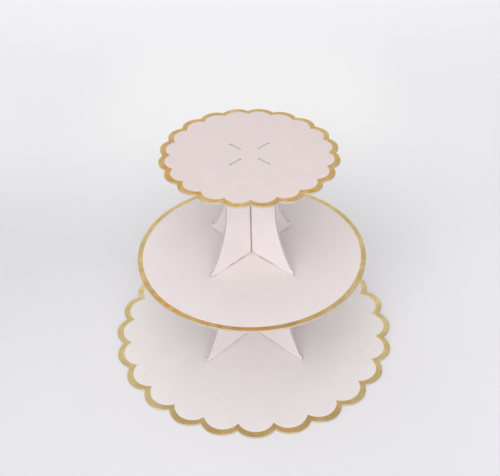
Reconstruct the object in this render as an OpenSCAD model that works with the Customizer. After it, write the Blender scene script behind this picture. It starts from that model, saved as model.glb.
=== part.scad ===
// Three-tier knock-down cake stand of laminated card.
// Two half-lapped boards form each cross-shaped column; tabs on the boards sit in slots
// in the plates. The underside of the bottom plate is at z = 0 and its centre is the origin.

/* [Card] */
// Thickness of the core board of every plate and board
core_t = 1.5; // [1:0.1:2]
// Thickness of each paper sheet glued to a core
paper_t = 0.25; // [0.2:0.05:0.35]
// Thickness of the gold foil stamped round each plate
foil_t = 0.1; // [0.05:0.05:0.15]

/* [Bottom plate] */
// Radius to the crests of the lobes
bottom_crest_r = 150; // [140:1:160]
// Depth of the notches between the lobes
bottom_notch = 8.5; // [7:0.5:9.5]
// Number of lobes
bottom_lobes = 24; // [20:4:24]
// Width of the gold border at a crest
bottom_band_crest = 6.6; // [6:0.1:8]
// Width of the gold border at a notch
bottom_band_notch = 8.1; // [7:0.1:9]

/* [Middle plate] */
// Radius of the plain round plate
middle_r = 116; // [105:1:125]
// Width of the gold border
middle_band = 5; // [3:0.1:8]

/* [Top plate] */
// Radius to the crests of the lobes
top_crest_r = 85; // [80:1:90]
// Depth of the notches between the lobes
top_notch = 4.8; // [4:0.2:5.4]
// Number of lobes
top_lobes = 20; // [16:4:20]
// Width of the gold border at a crest
top_band_crest = 5.5; // [5:0.1:6.5]
// Width of the gold border at a notch
top_band_notch = 6.4; // [5.8:0.1:7]

/* [Lower column] */
// Height between the bottom and the middle plate
lower_h = 108; // [100:1:120]
// Half width of a board above its flare
lower_waist = 47; // [44:1:50]
// Half width at the lower end of the flare
lower_flare = 68.5; // [66:0.5:69]
// Half width of the foot
lower_foot = 71.5; // [70:0.5:74]
// Height at which the flare begins
lower_flare_h = 75; // [65:1:85]

/* [Upper column] */
// Height between the middle and the top plate
upper_h = 115; // [105:1:125]
// Half width of a board above its flare
upper_waist = 33; // [31:1:36]
// Half width at the lower end of the flare
upper_flare = 54; // [52:0.5:55]
// Half width of the foot
upper_foot = 57.5; // [56:0.5:60]
// Height at which the flare begins
upper_flare_h = 70; // [60:1:80]

/* [Tabs and slots] */
// Gap on each side of a tab in the slot of a plate
slot_play = 0.2; // [0.1:0.05:0.3]
// Gap on each side of a board in the half-height slot of the board it crosses
lap_play = 0.8; // [0.3:0.1:1]
// Gap at each end of a tab in its slot
tab_end_play = 0.3; // [0.2:0.1:0.5]
// Depth of the tab ends below the far face of the plate
tab_recess = 0.2; // [0.1:0.1:0.4]
// Bevel on the corners of a tab
tab_bevel = 0.8; // [0.4:0.1:1.2]
// Height of the upright edge of a foot
foot_h = 6.5; // [5:0.5:8]

/* [Hidden] */
board_t = core_t + 2 * paper_t;
slot_w = board_t + 2 * slot_play;
lap_w = board_t + 2 * lap_play;
tab_h = board_t - tab_recess;

// Underside of each plate and foot line of each column
bottom_z = 0;
lower_z = bottom_z + board_t;
middle_z = lower_z + lower_h;
upper_z = middle_z + board_t;
top_z = upper_z + upper_h;

// Where a tab begins and ends along its wing, measured from the axis: [start, end]
lower_foot_tab = [46, 64];
lower_head_tab = [12, 30];
upper_foot_tab = [36, 52];
upper_head_tab = [12, 26];

// Directions of the first and the second board of a column
first_turn = -45;
second_turn = 45;
wing_turns = [45, 135, 225, 315];

white = [0.94, 0.92, 0.93];
underside_white = [0.9, 0.89, 0.88];
board_grey = [0.74, 0.71, 0.68];
gold = [0.8, 0.64, 0.33];

// ---- Outlines ----

// Distance from the plate's centre to a lobe's centre, so that the arcs of neighbouring
// lobes meet at the notch radius
function lobe_centre(crest_r, notch_r, lobes) =
    (pow(crest_r, 2) - pow(notch_r, 2)) / (2 * (crest_r - notch_r * cos(180 / lobes)));

module scalloped(crest_r, notch, lobes, first_lobe) {
    centre_r = lobe_centre(crest_r, crest_r - notch, lobes);
    circle(r = centre_r, $fn = 180);
    for (i = [0 : lobes - 1])
        rotate(first_lobe + i * 360 / lobes)
            translate([centre_r, 0])
                circle(r = crest_r - centre_r, $fn = 72);
}

module bottom_outline() {
    scalloped(bottom_crest_r, bottom_notch, bottom_lobes, 0);
}

module bottom_white_outline() {
    scalloped(bottom_crest_r - bottom_band_crest,
              bottom_notch + bottom_band_notch - bottom_band_crest, bottom_lobes, 0);
}

module middle_outline() {
    circle(r = middle_r, $fn = 240);
}

module middle_white_outline() {
    circle(r = middle_r - middle_band, $fn = 240);
}

// The top plate has a notch, not a lobe, on each of its four main directions
module top_outline() {
    scalloped(top_crest_r, top_notch, top_lobes, 180 / top_lobes);
}

module top_white_outline() {
    scalloped(top_crest_r - top_band_crest,
              top_notch + top_band_notch - top_band_crest, top_lobes, 180 / top_lobes);
}

// Four slots, one under or over each wing, for the tabs from tab[0] to tab[1]
module tab_slots(tab) {
    for (turn = wing_turns)
        rotate(turn)
            translate([tab[0] - tab_end_play, -slot_w / 2])
                square([tab[1] - tab[0] + 2 * tab_end_play, slot_w]);
}

// Points of a tab that stands on a level edge at height 0 between span[0] and span[1]
function tab_points(span) = [
    [span[0], 0],
    [span[0], tab_h - tab_bevel],
    [span[0] + tab_bevel, tab_h],
    [span[1] - tab_bevel, tab_h],
    [span[1], tab_h - tab_bevel],
    [span[1], 0]
];

function flipped(points) = [for (p = points) [-p[0], p[1]]];

function turned_down(points) = [for (p = points) [p[0], -p[1]]];

function raised(points, h) = [for (p = points) [p[0], p[1] + h]];

function reversed(points) = [for (i = [len(points) - 1 : -1 : 0]) points[i]];

// Whole board, axis on x = 0 and foot line on y = 0. Each wing is an upright strip that
// flares in one round sweep to a square foot. A half-height slot takes the board that
// crosses it; slot_up says whether the slot opens at the top
module board_outline(h, waist, flare, foot, flare_h, head_tab, foot_tab, slot_up) {
    sweep = flare - waist;
    sweep_h = flare_h - foot_h;
    sweep_r = (pow(sweep_h, 2) + pow(sweep, 2)) / (2 * sweep);
    slot_h = h / 2 + slot_play;
    right_wing = concat(
        turned_down(tab_points(foot_tab)),
        [[foot, 0], [foot, foot_h], [flare, foot_h], [flare, flare_h],
         [waist, flare_h], [waist, h]],
        reversed(raised(tab_points(head_tab), h))
    );
    difference() {
        polygon(concat(right_wing, reversed(flipped(right_wing))));
        intersection() {
            for (side = [-1, 1])
                translate([side * (waist + sweep_r), flare_h])
                    circle(r = sweep_r, $fn = 360);
            translate([-foot, foot_h])
                square([2 * foot, h]);
        }
        translate([-lap_w / 2, slot_up ? h - slot_h : -1])
            square([lap_w, slot_h + 1]);
    }
}

module lower_outline(slot_up) {
    board_outline(lower_h, lower_waist, lower_flare, lower_foot, lower_flare_h,
                  lower_head_tab, lower_foot_tab, slot_up);
}

module upper_outline(slot_up) {
    board_outline(upper_h, upper_waist, upper_flare, upper_foot, upper_flare_h,
                  upper_head_tab, upper_foot_tab, slot_up);
}

// ---- Layers of a laminate ----

module back_layer(z) {
    translate([0, 0, z]) linear_extrude(paper_t) children();
}

module core_layer(z) {
    translate([0, 0, z + paper_t]) linear_extrude(core_t) children();
}

module face_layer(z) {
    translate([0, 0, z + paper_t + core_t]) linear_extrude(paper_t) children();
}

module foil_layer(z) {
    translate([0, 0, z + board_t]) linear_extrude(foil_t) children();
}

// Stands an outline upright, turned about the axis, as a layer between two depths
module upright_layer(z, turn, low, high) {
    translate([0, 0, z])
        rotate([0, 0, turn])
            translate([0, high, 0])
                rotate([90, 0, 0])
                    linear_extrude(high - low) children();
}

module upright_core(z, turn) {
    upright_layer(z, turn, -core_t / 2, core_t / 2) children();
}

module left_layer(z, turn) {
    upright_layer(z, turn, core_t / 2, board_t / 2) children();
}

module right_layer(z, turn) {
    upright_layer(z, turn, -board_t / 2, -core_t / 2) children();
}

// ---- Bottom plate ----

module bottom_plate_outline() {
    difference() {
        bottom_outline();
        tab_slots(lower_foot_tab);
    }
}

module bottom_plate_core() {
    color(board_grey) core_layer(bottom_z) bottom_plate_outline();
}

module bottom_plate_back_paper() {
    color(underside_white) back_layer(bottom_z) bottom_plate_outline();
}

module bottom_plate_face_paper() {
    color(white) face_layer(bottom_z) bottom_plate_outline();
}

module bottom_plate_gold_border() {
    color(gold)
        foil_layer(bottom_z)
            difference() {
                bottom_outline();
                bottom_white_outline();
            }
}

// ---- Lower column ----

module lower_first_board_core() {
    color(board_grey) upright_core(lower_z, first_turn) lower_outline(slot_up = true);
}

module lower_first_board_left_paper() {
    color(white) left_layer(lower_z, first_turn) lower_outline(slot_up = true);
}

module lower_first_board_right_paper() {
    color(white) right_layer(lower_z, first_turn) lower_outline(slot_up = true);
}

module lower_second_board_core() {
    color(board_grey) upright_core(lower_z, second_turn) lower_outline(slot_up = false);
}

module lower_second_board_left_paper() {
    color(white) left_layer(lower_z, second_turn) lower_outline(slot_up = false);
}

module lower_second_board_right_paper() {
    color(white) right_layer(lower_z, second_turn) lower_outline(slot_up = false);
}

// ---- Middle plate ----

module middle_plate_outline() {
    difference() {
        middle_outline();
        tab_slots(lower_head_tab);
        tab_slots(upper_foot_tab);
    }
}

module middle_plate_core() {
    color(board_grey) core_layer(middle_z) middle_plate_outline();
}

module middle_plate_back_paper() {
    color(underside_white) back_layer(middle_z) middle_plate_outline();
}

module middle_plate_face_paper() {
    color(white) face_layer(middle_z) middle_plate_outline();
}

module middle_plate_gold_border() {
    color(gold)
        foil_layer(middle_z)
            difference() {
                middle_outline();
                middle_white_outline();
            }
}

// ---- Upper column ----

module upper_first_board_core() {
    color(board_grey) upright_core(upper_z, first_turn) upper_outline(slot_up = true);
}

module upper_first_board_left_paper() {
    color(white) left_layer(upper_z, first_turn) upper_outline(slot_up = true);
}

module upper_first_board_right_paper() {
    color(white) right_layer(upper_z, first_turn) upper_outline(slot_up = true);
}

module upper_second_board_core() {
    color(board_grey) upright_core(upper_z, second_turn) upper_outline(slot_up = false);
}

module upper_second_board_left_paper() {
    color(white) left_layer(upper_z, second_turn) upper_outline(slot_up = false);
}

module upper_second_board_right_paper() {
    color(white) right_layer(upper_z, second_turn) upper_outline(slot_up = false);
}

// ---- Top plate ----

module top_plate_outline() {
    difference() {
        top_outline();
        tab_slots(upper_head_tab);
    }
}

module top_plate_core() {
    color(board_grey) core_layer(top_z) top_plate_outline();
}

module top_plate_back_paper() {
    color(underside_white) back_layer(top_z) top_plate_outline();
}

module top_plate_face_paper() {
    color(white) face_layer(top_z) top_plate_outline();
}

module top_plate_gold_border() {
    color(gold)
        foil_layer(top_z)
            difference() {
                top_outline();
                top_white_outline();
            }
}

bottom_plate_core();
bottom_plate_back_paper();
bottom_plate_face_paper();
bottom_plate_gold_border();
lower_first_board_core();
lower_first_board_left_paper();
lower_first_board_right_paper();
lower_second_board_core();
lower_second_board_left_paper();
lower_second_board_right_paper();
middle_plate_core();
middle_plate_back_paper();
middle_plate_face_paper();
middle_plate_gold_border();
upper_first_board_core();
upper_first_board_left_paper();
upper_first_board_right_paper();
upper_second_board_core();
upper_second_board_left_paper();
upper_second_board_right_paper();
top_plate_core();
top_plate_back_paper();
top_plate_face_paper();
top_plate_gold_border();
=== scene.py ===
# Looks of the three-tier cake stand of laminated card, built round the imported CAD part.
# Shapes are worked out in millimetres and turned into metres when a mesh is made.
import math

import bpy
import numpy as np
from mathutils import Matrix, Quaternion, Vector
from mathutils.geometry import delaunay_2d_cdt


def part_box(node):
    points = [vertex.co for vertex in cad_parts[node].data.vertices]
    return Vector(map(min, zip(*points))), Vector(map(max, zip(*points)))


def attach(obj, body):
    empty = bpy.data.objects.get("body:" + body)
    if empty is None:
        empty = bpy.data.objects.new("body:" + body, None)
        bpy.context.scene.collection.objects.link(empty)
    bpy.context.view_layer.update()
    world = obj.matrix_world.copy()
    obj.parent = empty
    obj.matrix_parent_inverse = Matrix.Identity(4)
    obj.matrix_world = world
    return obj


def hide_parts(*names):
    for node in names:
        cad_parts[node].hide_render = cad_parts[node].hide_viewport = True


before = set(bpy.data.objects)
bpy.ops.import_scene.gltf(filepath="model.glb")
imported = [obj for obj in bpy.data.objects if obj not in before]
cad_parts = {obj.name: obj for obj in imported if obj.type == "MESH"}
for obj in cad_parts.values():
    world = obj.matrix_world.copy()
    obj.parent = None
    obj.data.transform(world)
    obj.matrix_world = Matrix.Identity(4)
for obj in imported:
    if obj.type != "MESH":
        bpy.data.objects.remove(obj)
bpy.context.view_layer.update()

MM = 0.001
rng = np.random.default_rng(11)

# ---- Sizes in millimetres, as the CAD has them ----

# Half the thickness of a board's core, and half the thickness of the whole board
CORE_HALF = 0.75
BOARD_HALF = 1.0
TAB_SLOT = 2.4
TAB_END_PLAY = 0.3
TAB_H = 1.8
TAB_BEVEL = 0.8
FOOT_H = 6.5
LAP_W = 3.6
LAP_EXTRA = 0.2
# Between its tabs and its toes the foot line stands clear of the plate by FOOT_GAP
FOOT_GAP = 0.6
GAP_BEFORE_TAB = 1.0
GAP_AFTER_TAB = 0.6
TOE = 1.5
TOE_RAMP = 1.0
# How far a steel cutting rule rounds the corners of a board and of a slot
BOARD_EASE = 0.4
SLOT_EASE = 0.3
# The longest edge along the outline of a board and of a slot
BOARD_STEP = 2.2
SLOT_STEP = 2.0
# How uneven a cut edge is, and how far the inner edge of the foil wanders
CUT_ROUGHNESS = 0.012
FOIL_WANDER = 0.05

LOWER = dict(h=108, waist=47, flare=68.5, foot=71.5, flare_h=75, head_tab=(12, 30), foot_tab=(46, 64))
UPPER = dict(h=115, waist=33, flare=54, foot=57.5, flare_h=70, head_tab=(12, 26), foot_tab=(36, 52))
WING_TURNS = (45, 135, 225, 315)
FIRST_TURN = -45
SECOND_TURN = 45


# ---- Outlines ----

def turned(points, degrees):
    a = math.radians(degrees)
    return points @ np.array([[math.cos(a), math.sin(a)], [-math.sin(a), math.cos(a)]])


def scalloped(crest, notch, lobes, first, per_lobe):
    """Outline of round lobes whose arcs meet in notches, anticlockwise from a notch."""
    cusp = crest - notch
    half = math.pi / lobes
    centre = (crest ** 2 - cusp ** 2) / (2 * (crest - cusp * math.cos(half)))
    reach = math.atan2(cusp * math.sin(half), cusp * math.cos(half) - centre)
    swing = np.linspace(-reach, reach, per_lobe, endpoint=False)
    lobe = np.stack([centre + (crest - centre) * np.cos(swing), (crest - centre) * np.sin(swing)], 1)
    return np.concatenate([turned(lobe, first + i * 360 / lobes) for i in range(lobes)])


def circle(radius, count):
    a = np.linspace(0, 2 * math.pi, count, endpoint=False)
    return np.stack([radius * np.cos(a), radius * np.sin(a)], 1)


def eased(points, radius):
    """Every sharp corner becomes a small round; bends of less than 20 degrees stay."""
    out = []
    for i, b in enumerate(points):
        a, c = points[i - 1], points[(i + 1) % len(points)]
        to_a, to_c = a - b, c - b
        len_a, len_c = np.linalg.norm(to_a), np.linalg.norm(to_c)
        if -(to_a @ to_c) / (len_a * len_c) > math.cos(math.radians(20)):
            out.append(b)
            continue
        cut = min(radius, 0.4 * len_a, 0.4 * len_c)
        p, q = b + to_a / len_a * cut, b + to_c / len_c * cut
        for t in (0, 0.25, 0.5, 0.75, 1):
            out.append((1 - t) ** 2 * p + 2 * t * (1 - t) * b + t ** 2 * q)
    return np.array(out)


def divided(points, step):
    """The same outline with no edge longer than step."""
    out = []
    for i, a in enumerate(points):
        b = points[(i + 1) % len(points)]
        n = max(1, math.ceil(np.linalg.norm(b - a) / step))
        out += [a + (b - a) * k / n for k in range(n)]
    return np.array(out)


def tab_slots(span):
    """Four slots for the tabs of a column, each wound clockwise because it is a hole."""
    x0, x1, y = span[0] - TAB_END_PLAY, span[1] + TAB_END_PLAY, TAB_SLOT / 2
    slot = np.array([[x0, -y], [x0, y], [x1, y], [x1, -y]])
    return [turned(divided(eased(slot, SLOT_EASE), SLOT_STEP), t) for t in WING_TURNS]


def tab(span):
    """The free edge of a tab that stands on a level edge, from its near to its far end."""
    a, b = span
    return [(a, 0), (a, TAB_H - TAB_BEVEL), (a + TAB_BEVEL, TAB_H),
            (b - TAB_BEVEL, TAB_H), (b, TAB_H - TAB_BEVEL), (b, 0)]


def board_outline(h, waist, flare, foot, flare_h, head_tab, foot_tab, slot_up):
    """Outline of a whole board, anticlockwise, its axis on x = 0 and its foot line on y = 0."""
    sweep, sweep_h = flare - waist, flare_h - FOOT_H
    radius = (sweep_h ** 2 + sweep ** 2) / (2 * sweep)
    low = math.atan2(FOOT_H - flare_h, sweep - radius) % (2 * math.pi)
    arc = [(waist + radius + radius * math.cos(a), flare_h + radius * math.sin(a))
           for a in np.linspace(low, math.pi, 40)]
    near, far = foot_tab
    right = [(LAP_W, FOOT_GAP), (near - GAP_BEFORE_TAB, FOOT_GAP)]
    right += [(x, -y) for x, y in tab(foot_tab)]
    right += [(far + GAP_AFTER_TAB, FOOT_GAP), (foot - TOE - TOE_RAMP, FOOT_GAP)]
    right += [(foot - TOE, 0), (foot, 0), (foot, FOOT_H)]
    right += arc + [(waist, h)]
    right += [(x, h + y) for x, y in reversed(tab(head_tab))]
    left = [(-x, y) for x, y in reversed(right)]
    reach = h / 2 + LAP_EXTRA
    y_open, y_end = (h, h - reach) if slot_up else (0, reach)
    lap = [(LAP_W / 2, y_open), (LAP_W / 2, y_end), (-LAP_W / 2, y_end), (-LAP_W / 2, y_open)]
    corners = right + lap + left if slot_up else right + left + lap[::-1]
    return divided(eased(np.array(corners, float), BOARD_EASE), BOARD_STEP)


# ---- Sheets cut from an outline ----

def inside(points, loops):
    """Which points lie inside the outline and outside its holes."""
    hit = np.zeros(len(points), bool)
    x, y = points[:, :1], points[:, 1:]
    for loop in loops:
        a, b = loop, np.roll(loop, -1, 0)
        level = np.where(b[:, 1] == a[:, 1], 1e-12, b[:, 1] - a[:, 1])
        crosses = (a[:, 1] > y) != (b[:, 1] > y)
        left = x < a[:, 0] + (y - a[:, 1]) * (b[:, 0] - a[:, 0]) / level
        hit ^= (crosses & left).sum(1) % 2 == 1
    return hit


def inward(loop):
    """How each point of a loop moves when the material's edge is set back by one unit."""
    before, after = loop - np.roll(loop, 1, 0), np.roll(loop, -1, 0) - loop
    n0 = np.stack([-before[:, 1], before[:, 0]], 1) / np.linalg.norm(before, axis=1)[:, None]
    n1 = np.stack([-after[:, 1], after[:, 0]], 1) / np.linalg.norm(after, axis=1)[:, None]
    return (n0 + n1) / np.maximum(1 + (n0 * n1).sum(1), 0.4)[:, None]


def nearest(points, targets):
    """Distance from each point to the nearest target."""
    return np.array([np.sqrt(((targets - p) ** 2).sum(1).min()) for p in points])


class Blank:
    """A die-cut outline with its holes, triangulated once and used for every layer of a laminate."""

    # Free points: a ring set back along the edge, then an even grid. CLEAR is how near to the
    # edge each may come.
    RING_BACK = 1.1
    RING_CLEAR = 0.9
    GRID_CLEAR = 2.2

    def __init__(self, loops, spacing):
        self.loops = loops
        self.edge = np.concatenate(loops)
        self.inward = np.concatenate([inward(loop) for loop in loops])
        low, high = self.edge.min(0), self.edge.max(0)
        rows = np.arange(low[1], high[1], spacing * math.sqrt(0.75))
        grid = np.array([(x + (k % 2) * spacing / 2, y) for k, y in enumerate(rows)
                         for x in np.arange(low[0], high[0], spacing)])
        grid = grid[inside(grid, loops)]
        grid = grid[nearest(grid, self.edge) > self.GRID_CLEAR]
        ring = (self.edge + self.inward * self.RING_BACK)[::2]
        ring = ring[inside(ring, loops)]
        ring = ring[nearest(ring, self.edge) > self.RING_CLEAR]
        self.free = np.concatenate([ring, grid])
        points = np.concatenate([self.edge, self.free])
        sides, start = [], 0
        for loop in loops:
            n = len(loop)
            sides += [(start + i, start + (i + 1) % n) for i in range(n)]
            start += n
        _, _, faces, origin, _, _ = delaunay_2d_cdt([Vector(p) for p in points], sides, [], 0, 1e-7)
        index = np.array([o[0] for o in origin])
        triangles = index[np.array([f[:] for f in faces])]
        a, b, c = points[triangles[:, 0]], points[triangles[:, 1]], points[triangles[:, 2]]
        area = (b[:, 0] - a[:, 0]) * (c[:, 1] - a[:, 1]) - (b[:, 1] - a[:, 1]) * (c[:, 0] - a[:, 0])
        triangles[area < 0] = triangles[area < 0][:, ::-1]
        keep = inside((a + b + c) / 3, loops) & (abs(area) > 1e-9)
        self.triangles = triangles[keep]
        self.free_rim = nearest(self.free, self.edge)


# How the cut edge of a layer runs from its lower to its upper face: (set back, share of the depth)
OUTER_UP = ((0.0, 0.0), (0.0, 0.4), (0.015, 0.6), (0.05, 0.77), (0.11, 0.91), (0.2, 1.0))
OUTER_DOWN = tuple((back, 1 - share) for back, share in reversed(OUTER_UP))
CORE_EDGE = ((0.03, 0.0), (0.0, 0.04), (0.035, 0.22), (0.0, 0.4), (0.045, 0.55),
             (0.01, 0.72), (0.04, 0.88), (0.0, 0.96), (0.03, 1.0))


def layer(name, blank, low, high, edge_rows, place):
    """One layer of a laminate as a closed sheet with a slightly uneven cut edge."""
    n, m, rows = len(blank.edge), len(blank.free), len(edge_rows)
    rough = rng.normal(0, CUT_ROUGHNESS, (rows, n))
    rough = (rough + np.roll(rough, 1, 1) + np.roll(rough, -1, 1)) / 1.6
    rough[0] = rough[-1] = 0
    points, rim = [], []
    for k, (back, share) in enumerate(edge_rows):
        flat = blank.edge + blank.inward * (back + rough[k])[:, None]
        points.append(np.column_stack([flat, np.full(n, low + (high - low) * share)]))
        rim.append(np.full(n, back))
    for level in (low, high):
        points.append(np.column_stack([blank.free, np.full(m, level)]))
        rim.append(blank.free_rim)
    top = blank.triangles + np.where(blank.triangles < n, (rows - 1) * n, rows * n - n + m)
    bottom = np.where(blank.triangles < n, blank.triangles, blank.triangles + (rows - 1) * n)
    sides, start = [], 0
    for loop in blank.loops:
        i = start + np.arange(len(loop))
        j = start + (np.arange(len(loop)) + 1) % len(loop)
        for k in range(rows - 1):
            sides.append(np.stack([i + k * n, j + k * n, j + (k + 1) * n, i + (k + 1) * n], 1))
        start += len(loop)
    faces = top.tolist() + bottom[:, ::-1].tolist() + np.concatenate(sides).tolist()
    return piece(name, np.concatenate(points), faces, np.concatenate(rim), place)


def piece(name, points, faces, rim, place):
    """A mesh in the frame that keeps its flat sheet coordinates and its distance to the cut edge,
    both in millimetres, for its material."""
    mesh = bpy.data.meshes.new(name)
    mesh.from_pydata((place(points) * MM).tolist(), [], faces)
    mesh.attributes.new("sheet", "FLOAT_VECTOR", "POINT").data.foreach_set("vector", points.ravel())
    mesh.attributes.new("rim", "FLOAT", "POINT").data.foreach_set("value", rim)
    mesh.shade_smooth()
    mesh.set_sharp_from_angle(angle=math.radians(42))
    obj = bpy.data.objects.new(name, mesh)
    bpy.context.scene.collection.objects.link(obj)
    return obj


# The foil's section: (share of the band's width, height) on the flat, then (set back, height)
# where it rolls over the outer edge. Heights count from the top of the face paper.
FOIL_FLAT = ((0.0, -0.02), (0.0, 0.03), (0.015, 0.05), (0.15, 0.05), (0.3, 0.05), (0.45, 0.05),
             (0.6, 0.05), (0.75, 0.05), (0.9, 0.05))
FOIL_ROLL = ((0.24, 0.05), (0.12, 0.03), (0.05, -0.01), (0.0, -0.05), (-0.02, -0.1),
             (-0.02, -0.14), (0.03, -0.14), (0.3, -0.02))


def foil(name, outer, inner, top, place):
    """The stamped foil: a thin closed band that lies on the face paper and rolls over its cut edge."""
    push = inward(outer)
    n = len(outer)
    wander = rng.normal(0, FOIL_WANDER, n)
    inner = inner - push * ((wander + np.roll(wander, 1) + np.roll(wander, 2)) / 2)[:, None]
    rolled = outer + push * FOIL_ROLL[0][0]
    points = [np.column_stack([inner + (rolled - inner) * share, np.full(n, top + z)])
              for share, z in FOIL_FLAT]
    points += [np.column_stack([outer + push * back, np.full(n, top + z)]) for back, z in FOIL_ROLL]
    rows = len(points)
    i, j = np.arange(n), (np.arange(n) + 1) % n
    faces = []
    for k in range(rows):
        a, b = k * n, (k + 1) % rows * n
        faces += np.stack([a + i, b + i, b + j, a + j], 1).tolist()
    rim = np.concatenate([np.linalg.norm(p[:, :2] - outer, axis=1) for p in points])
    return piece(name, np.concatenate(points), faces, rim, place)


# ---- Materials ----

class Look:
    """A procedural material: a Principled shader and short calls to add nodes to it."""

    def __init__(self, name):
        self.material = bpy.data.materials.new(name)
        self.material.use_nodes = True
        self.tree = self.material.node_tree
        self.tree.nodes.clear()
        out = self.tree.nodes.new("ShaderNodeOutputMaterial")
        self.shader = self.tree.nodes.new("ShaderNodeBsdfPrincipled")
        self.tree.links.new(self.shader.outputs[0], out.inputs[0])

    def add(self, kind, output=0, inputs=None, **settings):
        node = self.tree.nodes.new("ShaderNode" + kind)
        for key, value in settings.items():
            setattr(node, key, value)
        for key, value in (inputs or {}).items():
            self.put(node.inputs[key], value)
        return node.outputs[output]

    def put(self, socket, value):
        if isinstance(value, bpy.types.NodeSocket):
            self.tree.links.new(value, socket)
        else:
            socket.default_value = value

    def set(self, **values):
        for key, value in values.items():
            self.put(self.shader.inputs[key.replace("_", " ")], value)

    def sheet(self, stretch=(1, 1, 1), turn=0.0):
        """Flat coordinates on the sheet in millimetres, stretched and turned in its plane."""
        flat = self.add("Attribute", "Vector", attribute_name="sheet")
        return self.add("Mapping", inputs={"Vector": flat, "Scale": stretch,
                                           "Rotation": (0, 0, math.radians(turn))})

    def rim(self):
        return self.add("Attribute", "Fac", attribute_name="rim")

    def noise(self, vector, scale, detail=2.0, roughness=0.5, distortion=0.0):
        return self.add("TexNoise", inputs={"Vector": vector, "Scale": scale, "Detail": detail,
                                            "Roughness": roughness, "Distortion": distortion})

    def span(self, value, from_low, from_high, to_low, to_high, smooth=False):
        return self.add("MapRange", inputs={"Value": value, "From Min": from_low, "From Max": from_high,
                                            "To Min": to_low, "To Max": to_high},
                        interpolation_type="SMOOTHSTEP" if smooth else "LINEAR")

    def math(self, operation, a, b=0.0):
        return self.add("Math", inputs={0: a, 1: b}, operation=operation)

    def mix(self, factor, a, b, blend="MIX"):
        # Sockets 6 and 7 are the two colours, and output 2 is their mix
        return self.add("Mix", 2, {0: factor, 6: a, 7: b}, data_type="RGBA", blend_type=blend)

    def bump(self, height, distance, strength, normal=None):
        inputs = {"Height": height, "Distance": distance, "Strength": strength}
        if normal is not None:
            inputs["Normal"] = normal
        return self.add("Bump", inputs=inputs)


def paper(name, light, dark, edge, roughness, cockle, fibre, coat=0.0, scuffed_and_seam_shaded=False):
    """Paper with cloudy formation, faint fibres, a slight cockle and a bruised cut edge.
    The colours are linear; cockle and fibre are heights in metres. Paper that is scuffed and seam shaded
    gets a dark streaky stripe along its axis, x = 0, where the slot of the other board slides over it:
    partly a scuff from that rub, mostly painted shade of the narrow gap between the boards."""
    look = Look(name)
    flat = look.sheet()
    cloud = look.noise(flat, 0.035, 3, 0.6)
    flock = look.noise(flat, 0.42, 3, 0.65)
    long_fibres = look.noise(look.sheet((0.5, 3.4, 3.4), 24), 1.0, 3, 0.6, 0.4)
    cross_fibres = look.noise(look.sheet((3.1, 0.55, 3.1), 11), 1.0, 3, 0.6, 0.4)
    fibres = look.math("MULTIPLY", long_fibres, cross_fibres)
    tone = look.math("ADD", look.span(cloud, 0.3, 0.7, 0.0, 0.55, True),
                     look.span(flock, 0.3, 0.7, 0.0, 0.45, True))
    base = look.mix(tone, light, dark)
    specks = look.noise(flat, 1.9, 1, 0.4)
    fleck = look.math("MULTIPLY", look.span(specks, 0.68, 0.76, 0.0, 0.16),
                      look.span(fibres, 0.2, 0.34, 0.2, 1.0))
    base = look.mix(fleck, base, edge)
    bruise = look.math("MULTIPLY", look.span(look.rim(), 0.9, 0.0, 0.0, 0.6, True),
                       look.span(flock, 0.35, 0.65, 0.35, 1.0))
    base = look.mix(bruise, base, edge)
    # Painted shade of the seam where the boards cross, streaked like a scuff from the slot rubbing over
    # the paper.
    if scuffed_and_seam_shaded:
        from_axis = look.math("ABSOLUTE", look.add("SeparateXYZ", "X", {0: flat}))
        streaks = look.noise(look.sheet((2.6, 0.05, 1.0)), 1.0, 3, 0.6)
        across = look.span(from_axis, LAP_W / 2 - 0.3, LAP_W / 2 + 0.5, 1.0, 0.0, True)
        seam_shade_and_scuff = look.math("MULTIPLY", across, look.span(streaks, 0.38, 0.6, 0.5, 1.0))
        base = look.mix(seam_shade_and_scuff, base, (0.37, 0.34, 0.325, 1))
    rough = look.math("ADD", look.span(fibres, 0.12, 0.38, roughness - 0.05, roughness + 0.06),
                      look.math("MULTIPLY", bruise, 0.25))
    grain = look.noise(flat, 2.6, 3, 0.6)
    wave = look.bump(look.noise(flat, 0.05, 1, 0.4), cockle, 1.0)
    surface = look.bump(look.math("ADD", fibres, look.math("MULTIPLY", grain, 0.5)), fibre, 1.0, wave)
    look.set(Base_Color=base, Roughness=rough, Normal=surface, IOR=1.48)
    if coat:
        look.set(Coat_Weight=coat, Coat_Roughness=0.32)
    return look.material


def greyboard(name):
    """The core: grey board pressed from many thin plies that show on every cut edge."""
    look = Look(name)
    flat = look.sheet()
    plies = look.noise(look.sheet((0.05, 0.05, 5.5)), 1.0, 3, 0.6, 0.25)
    pulp = look.noise(flat, 1.6, 4, 0.65)
    tufts = look.noise(look.sheet((0.35, 0.35, 4.0)), 1.0, 4, 0.7)
    base = look.mix(look.span(plies, 0.35, 0.65, 0.0, 1.0, True),
                    (0.57, 0.535, 0.50, 1), (0.42, 0.385, 0.355, 1))
    base = look.mix(look.span(pulp, 0.45, 0.75, 0.0, 0.5), base, (0.64, 0.61, 0.575, 1))
    base = look.mix(look.span(tufts, 0.62, 0.74, 0.0, 0.5), base, (0.31, 0.275, 0.245, 1))
    surface = look.bump(look.math("ADD", plies, look.math("MULTIPLY", pulp, 0.7)), 0.00008, 1.0)
    look.set(Base_Color=base, Roughness=look.span(pulp, 0.3, 0.7, 0.78, 0.92), Normal=surface, IOR=1.45)
    return look.material


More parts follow.
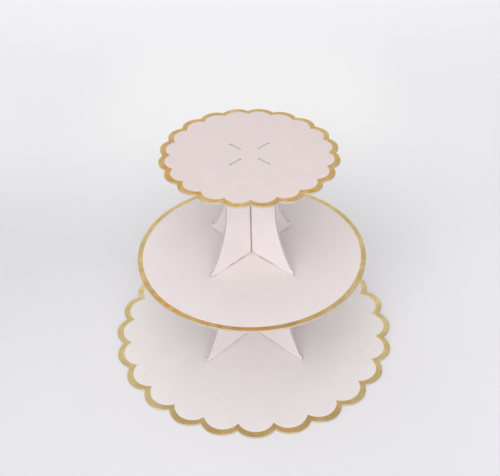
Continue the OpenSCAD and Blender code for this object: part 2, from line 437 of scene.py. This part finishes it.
def gold_foil(name):
    """Hot-stamped foil: metal that follows the paper's grain, with a mottled press, worn flecks and a
    painted warm reflection.
    """
    look = Look(name)
    flat = look.sheet()
    press = look.noise(flat, 0.11, 3, 0.6)
    grain = look.noise(flat, 1.5, 3, 0.6)
    fine = look.noise(flat, 4.5, 2, 0.5)
    # Painted reflection: the foil turns orange where the plate's painted reflection attribute is high.
    glow = look.add("Attribute", "Fac", attribute_name="painted_reflection")
    base = look.mix(glow, (0.815, 0.65, 0.30, 1), (0.80, 0.395, 0.052, 1))
    base = look.mix(look.span(press, 0.38, 0.66, 0.0, 0.55, True), base, (0.96, 0.78, 0.42, 1))
    shade = look.span(look.noise(flat, 0.045, 2, 0.5), 0.35, 0.62, 0.0, 0.5, True)
    base = look.mix(shade, base, (0.63, 0.435, 0.165, 1))
    rim = look.rim()
    worn = look.math("MULTIPLY", look.span(look.math("ADD", grain, look.math("MULTIPLY", fine, 0.35)),
                                           0.80, 0.90, 0.0, 1.0),
                     look.span(rim, 0.7, 0.0, 0.0, 1.0, True))
    base = look.mix(worn, base, (0.66, 0.57, 0.42, 1))
    metal = look.span(worn, 0.0, 1.0, 1.0, 0.0)
    rough = look.math("ADD", look.span(grain, 0.3, 0.7, 0.28, 0.41),
                      look.math("MULTIPLY", look.span(rim, 0.8, 0.0, 0.0, 1.0, True), 0.12))
    waves = look.bump(look.noise(flat, 0.16, 2, 0.5), 0.00006, 1.0)
    surface = look.bump(look.math("ADD", grain, look.math("MULTIPLY", fine, 0.4)), 0.00002, 1.0, waves)
    look.set(Base_Color=base, Metallic=metal, Roughness=rough, Normal=surface)
    return look.material


# The face papers get a little darker and pinker towards the top: painted shade and painted warm
# reflected light, strongest on the top plate. Each has (light tone, dark tone).
FACE_TONES_WITH_PAINTED_SHADE = {"bottom_plate": ((0.80, 0.757, 0.752, 1), (0.77, 0.725, 0.72, 1)),
              "middle_plate": ((0.785, 0.72, 0.71, 1), (0.755, 0.69, 0.682, 1)),
              "top_plate": ((0.735, 0.64, 0.63, 1), (0.705, 0.61, 0.603, 1))}
shaded_face_whites = {name: paper(f"{name}_face", light, dark, (0.62, 0.565, 0.54, 1),
                           0.52, 0.00012, 0.00003, coat=0.08)
               for name, (light, dark) in FACE_TONES_WITH_PAINTED_SHADE.items()}
column_white = paper("column_paper", (0.85, 0.786, 0.786, 1), (0.815, 0.747, 0.749, 1),
                     (0.61, 0.555, 0.535, 1), 0.55, 0.00010, 0.00003, coat=0.06, scuffed_and_seam_shaded=True)
back_white = paper("back_paper", (0.83, 0.80, 0.77, 1), (0.76, 0.72, 0.68, 1),
                   (0.62, 0.57, 0.51, 1), 0.68, 0.00008, 0.00003)
core_grey = greyboard("core_board")
gold = gold_foil("stamped_foil")

# ---- Plates ----


def warp(start, reach, waves, on_floor=False):
    """A gentle warp of a plate beyond its tabs. Each wave is (mm at the rim, crests round the
    plate, phase in degrees). A plate that lies on the floor bends only upwards."""
    def place(points):
        x, y = points[:, 0], points[:, 1]
        out = np.clip((np.hypot(x, y) - start) / (reach - start), 0, 1.2) ** 2
        bearing = np.arctan2(y, x)
        moved = points.copy()
        for height, count, phase in waves:
            wave = np.cos(count * bearing - math.radians(phase))
            moved[:, 2] += out * (height * wave + abs(height) * on_floor)
        return moved
    return place


def painted_reflection(obj, base, glows):
    """Painted reflection on the foil round the plate: how far it turns warm orange, standing for
    reflected light. Each glow is (bearing from the front in degrees, half width, gain)."""
    mesh = obj.data
    flat = np.zeros(len(mesh.vertices) * 3)
    mesh.attributes["sheet"].data.foreach_get("vector", flat)
    flat = flat.reshape(-1, 3)
    bearing = np.degrees(np.arctan2(flat[:, 0], -flat[:, 1]))
    value = np.full(len(flat), float(base))
    for centre, width, gain in glows:
        away = (bearing - centre + 180) % 360 - 180
        value += gain * np.exp(-(away / width) ** 2)
    mesh.attributes.new("painted_reflection", "FLOAT", "POINT").data.foreach_set("value", np.clip(value, 0, 1))


def dress(obj, material, body, node):
    obj.data.materials.append(material)
    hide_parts(node)
    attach(obj, body)


def plate(name, outer, inner, slots, spacing, place, base, glows):
    """A plate of four layers: back paper, core, face paper and the stamped border."""
    levels = [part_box(f"{name}_{part}")[0].z / MM for part in ("back_paper", "core", "face_paper")]
    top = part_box(f"{name}_face_paper")[1].z / MM
    blank = Blank([outer] + slots, spacing)
    rows = (("back_paper", levels[0], levels[1], OUTER_DOWN, back_white, "plate_back_paper"),
            ("core", levels[1], levels[2], CORE_EDGE, core_grey, "card_core"),
            ("face_paper", levels[2], top, OUTER_UP, shaded_face_whites[name], "plate_face_paper"))
    for part, low, high, edge_rows, material, slot in rows:
        sheet = layer(f"{name}_{part}_sheet", blank, low, high, edge_rows, place)
        dress(sheet, material, name, f"{name}_{part}")
    band = foil(f"{name}_gold_band", outer, inner, top, place)
    painted_reflection(band, base, glows)
    dress(band, gold, name, f"{name}_gold_border")


# The last two values of each plate give the painted reflection on its foil: an even amount, and warm
# patches by bearing.
plate("bottom_plate", scalloped(150, 8.5, 24, 0, 20), scalloped(143.4, 10.0, 24, 0, 20),
      tab_slots(LOWER["foot_tab"]), 6.0,
      warp(72, 150, ((0.18, 2, 40), (0.1, 3, 200)), on_floor=True),
      0.0, ((15, 30, 0.25),))
plate("middle_plate", circle(116, 300), circle(111, 300),
      tab_slots(LOWER["head_tab"]) + tab_slots(UPPER["foot_tab"]), 5.5,
      warp(62, 116, ((0.3, 2, 120), (0.25, 1, 170))),
      0.2, ((-48, 24, 0.6), (-2, 24, 0.65)))
plate("top_plate", scalloped(85, 4.8, 20, 9, 18), scalloped(79.5, 5.7, 20, 9, 18),
      tab_slots(UPPER["head_tab"]), 5.0,
      warp(35, 85, ((1.2, 1, 180), (0.15, 3, 60))),
      0.56, ((-58, 32, 0.44), (32, 28, 0.44)))

# ---- Columns ----


def upright(turn, foot):
    """Stands a flat board on its foot line, turned about the axis."""
    a = math.radians(turn)
    u, v, d = (math.cos(a), math.sin(a), 0), (0, 0, 1), (math.sin(a), -math.cos(a), 0)
    return lambda points: points @ np.array([u, v, d]) + np.array([0, 0, foot])


def board(name, sizes, turn, foot, slot_up):
    """A board of three layers: the core between the left and the right paper."""
    place = upright(turn, foot)
    blank = Blank([board_outline(slot_up=slot_up, **sizes)], 5.5)
    rows = (("left_paper", -BOARD_HALF, -CORE_HALF, OUTER_DOWN, column_white, "column_paper"),
            ("core", -CORE_HALF, CORE_HALF, CORE_EDGE, core_grey, "card_core"),
            ("right_paper", CORE_HALF, BOARD_HALF, OUTER_UP, column_white, "column_paper"))
    for part, low, high, edge_rows, material, slot in rows:
        sheet = layer(f"{name}_{part}_sheet", blank, low, high, edge_rows, place)
        dress(sheet, material, name, f"{name}_{part}")


for column, sizes, below in (("lower", LOWER, "bottom_plate"), ("upper", UPPER, "middle_plate")):
    foot_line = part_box(f"{below}_face_paper")[1].z / MM
    board(f"{column}_first_board", sizes, FIRST_TURN, foot_line, True)
    board(f"{column}_second_board", sizes, SECOND_TURN, foot_line, False)

# ---- Floor ----


FLOOR_FLAT = 3.6
FLOOR_SWEEP = 2.0


def floor_shape():
    """A wide sheet of background paper that sweeps up into a low wall all round."""
    count = 96
    profile = [(r, 0.0) for r in np.geomspace(0.05, FLOOR_FLAT, 30)]
    profile += [(FLOOR_FLAT + FLOOR_SWEEP * math.sin(a), FLOOR_SWEEP * (1 - math.cos(a)))
                for a in np.linspace(0, math.pi / 2, 14)[1:]]
    points, faces = [(0, 0, 0)], [(0, 1 + i, 1 + (i + 1) % count) for i in range(count)]
    for r, z in profile:
        points += [(r * math.cos(a), r * math.sin(a), z)
                   for a in np.linspace(0, 2 * math.pi, count, endpoint=False)]
    for k in range(len(profile) - 1):
        low, high = 1 + k * count, 1 + (k + 1) * count
        faces += [(low + i, high + i, high + (i + 1) % count, low + (i + 1) % count)
                  for i in range(count)]
    mesh = bpy.data.meshes.new("floor")
    mesh.from_pydata(points, [], faces)
    mesh.shade_smooth()
    obj = bpy.data.objects.new("floor", mesh)
    bpy.context.scene.collection.objects.link(obj)
    return obj


def background_paper():
    """Matt pale paper. Its tone changes slowly from place to place (distances in metres from the stand's
    axis): painted light and shade, which evens out the light of the lamps and makes the floor lighter to
    the right and behind the stand and a little darker to the left. The far floor and wall glow faintly
    as painted light."""
    look = Look("background_paper")
    place = look.add("TexCoord", "Object")
    parts = look.tree.nodes.new("ShaderNodeSeparateXYZ")
    look.put(parts.inputs[0], place)
    x, y = parts.outputs["X"], parts.outputs["Y"]
    away = look.add("VectorMath", "Value", {0: place}, operation="LENGTH")

    def turns_to(base, tone, value, start, end, blend="MIX"):
        return look.mix(look.span(value, start, end, 0.0, 1.0, True), base, (*tone, 1), blend)

    cloud = look.noise(place, 3.0, 3, 0.6)
    grain = look.noise(place, 700.0, 2, 0.5)
    base = turns_to((0.78, 0.775, 0.795, 1), (0.76, 0.755, 0.775), cloud, 0.3, 0.7)
    # Painted light and shade: lighter to the right, a little darker to the left.
    base = turns_to(base, (1.08, 1.08, 1.08), x, 0.15, 0.34, "MULTIPLY")
    base = turns_to(base, (0.972, 0.972, 0.972), x, -0.08, -0.2, "MULTIPLY")
    # Painted light: the floor behind the stand is lighter.
    behind = turns_to((0.94, 0.935, 0.94, 1), (0.88, 0.875, 0.885), look.math("ABSOLUTE", x), 0.14, 0.30)
    base = look.mix(look.span(y, 0.12, 0.45, 0.0, 1.0, True), base, behind)
    base = turns_to(base, (0.88, 0.875, 0.885), y, 0.5, 0.85)
    base = turns_to(base, (0.50, 0.50, 0.51), y, -0.22, -1.1)
    base = turns_to(base, (0.56, 0.56, 0.57), y, 1.0, 1.9)
    base = turns_to(base, (0.93, 0.93, 0.94), away, 1.7, 2.6)
    look.set(Base_Color=base, Roughness=1.0, Specular_IOR_Level=0.0,
             Normal=look.bump(grain, 0.00003, 0.6))
    # Painted light: a faint glow beyond 1.4 m, on a surface that is no lamp.
    look.set(Emission_Color=(1, 1, 1, 1), Emission_Strength=look.span(away, 1.4, 3.4, 0.0, 0.2, True))
    look.material.cycles.emission_sampling = "NONE"
    return look.material


floor = floor_shape()
floor.data.materials.append(background_paper())

# ---- Light ----


def softbox(name, azimuth, elevation, distance, width, height, power, spread=180, aim=(0, 0, 0.12)):
    """An area light that faces the stand, or another aim. Azimuth 0 is the front, 90 the right.
    Sizes and distances are in metres, angles in degrees and power in watts."""
    light = bpy.data.lights.new(name, "AREA")
    light.shape = "RECTANGLE"
    light.size, light.size_y = width, height
    light.energy = power
    light.spread = math.radians(spread)
    obj = bpy.data.objects.new(name, light)
    bpy.context.scene.collection.objects.link(obj)
    a, e = math.radians(azimuth), math.radians(elevation)
    away = Vector((math.sin(a) * math.cos(e), -math.cos(a) * math.cos(e), math.sin(e)))
    obj.location = away * distance
    obj.rotation_mode = "QUATERNION"
    obj.rotation_quaternion = (obj.location - Vector(aim)).to_track_quat("Z", "Y")


softbox("high_front_softbox", -8, 50, 2.4, 2.2, 1.5, 27)
softbox("low_front_softbox", 0, 25, 2.4, 2.6, 1.2, 17)
softbox("overhead_softbox", 0, 88, 2.4, 2.0, 2.0, 14)
softbox("back_softbox", 180, 40, 2.6, 2.4, 1.4, 4)
softbox("background_light", 180, 42, 2.2, 3.0, 0.6, 3.0, spread=60, aim=(0, 1.25, 0))

# The room: an even glow, and soft lobes of light, each (direction, strength, how tightly it gathers)
ROOM_GLOW = 0.02
ROOM = (((0, -1, 0), 0.50, 1), ((-1, 0, 0), 0.40, 1), ((1, 0, 0), 0.12, 1),
        ((0, 0.78, 0.62), 0.38, 3), ((0, 0, 1), 0.03, 1))


def room():
    world = bpy.data.worlds.new("room")
    bpy.context.scene.world = world
    world.use_nodes = True
    tree = world.node_tree
    look_way = tree.nodes.new("ShaderNodeTexCoord").outputs["Generated"]

    def scalar(operation, *values):
        node = tree.nodes.new("ShaderNodeMath")
        node.operation = operation
        for socket, value in zip(node.inputs, values):
            if isinstance(value, bpy.types.NodeSocket):
                tree.links.new(value, socket)
            else:
                socket.default_value = value
        return node.outputs[0]

    total = scalar("ADD", ROOM_GLOW, 0.0)
    for direction, strength, gather in ROOM:
        facing = tree.nodes.new("ShaderNodeVectorMath")
        facing.operation = "DOT_PRODUCT"
        facing.inputs[1].default_value = direction
        tree.links.new(look_way, facing.inputs[0])
        lobe = scalar("POWER", scalar("MAXIMUM", facing.outputs["Value"], 0.0), gather)
        total = scalar("MULTIPLY_ADD", lobe, strength, total)
    background = tree.nodes["Background"]
    tree.links.new(total, background.inputs["Strength"])
    background.inputs["Color"].default_value = (1.0, 0.99, 1.0, 1)


room()

# ---- Camera ----

CAMERA_ELEVATION = 38.36
CAMERA_DISTANCE = 0.8351
CAMERA_ROLL = -1.45
CAMERA_TARGET = Vector((-0.00136, 0.0, 0.1286))

camera = bpy.data.cameras.new("camera")
camera.sensor_width = 36.0
camera.lens = 59.55
camera.clip_start, camera.clip_end = 0.01, 50.0
camera_object = bpy.data.objects.new("camera", camera)
bpy.context.scene.collection.objects.link(camera_object)
tilt = math.radians(CAMERA_ELEVATION)
back = Vector((0.0, -math.cos(tilt), math.sin(tilt)))
camera_object.location = CAMERA_TARGET + back * CAMERA_DISTANCE
camera_object.rotation_mode = "QUATERNION"
camera_object.rotation_quaternion = (back.to_track_quat("Z", "Y")
                                     @ Quaternion((0, 0, 1), math.radians(CAMERA_ROLL)))
bpy.context.scene.camera = camera_object
bpy.context.scene.view_settings.view_transform = "Standard"

# ---- Update ----

bpy.context.view_layer.update()
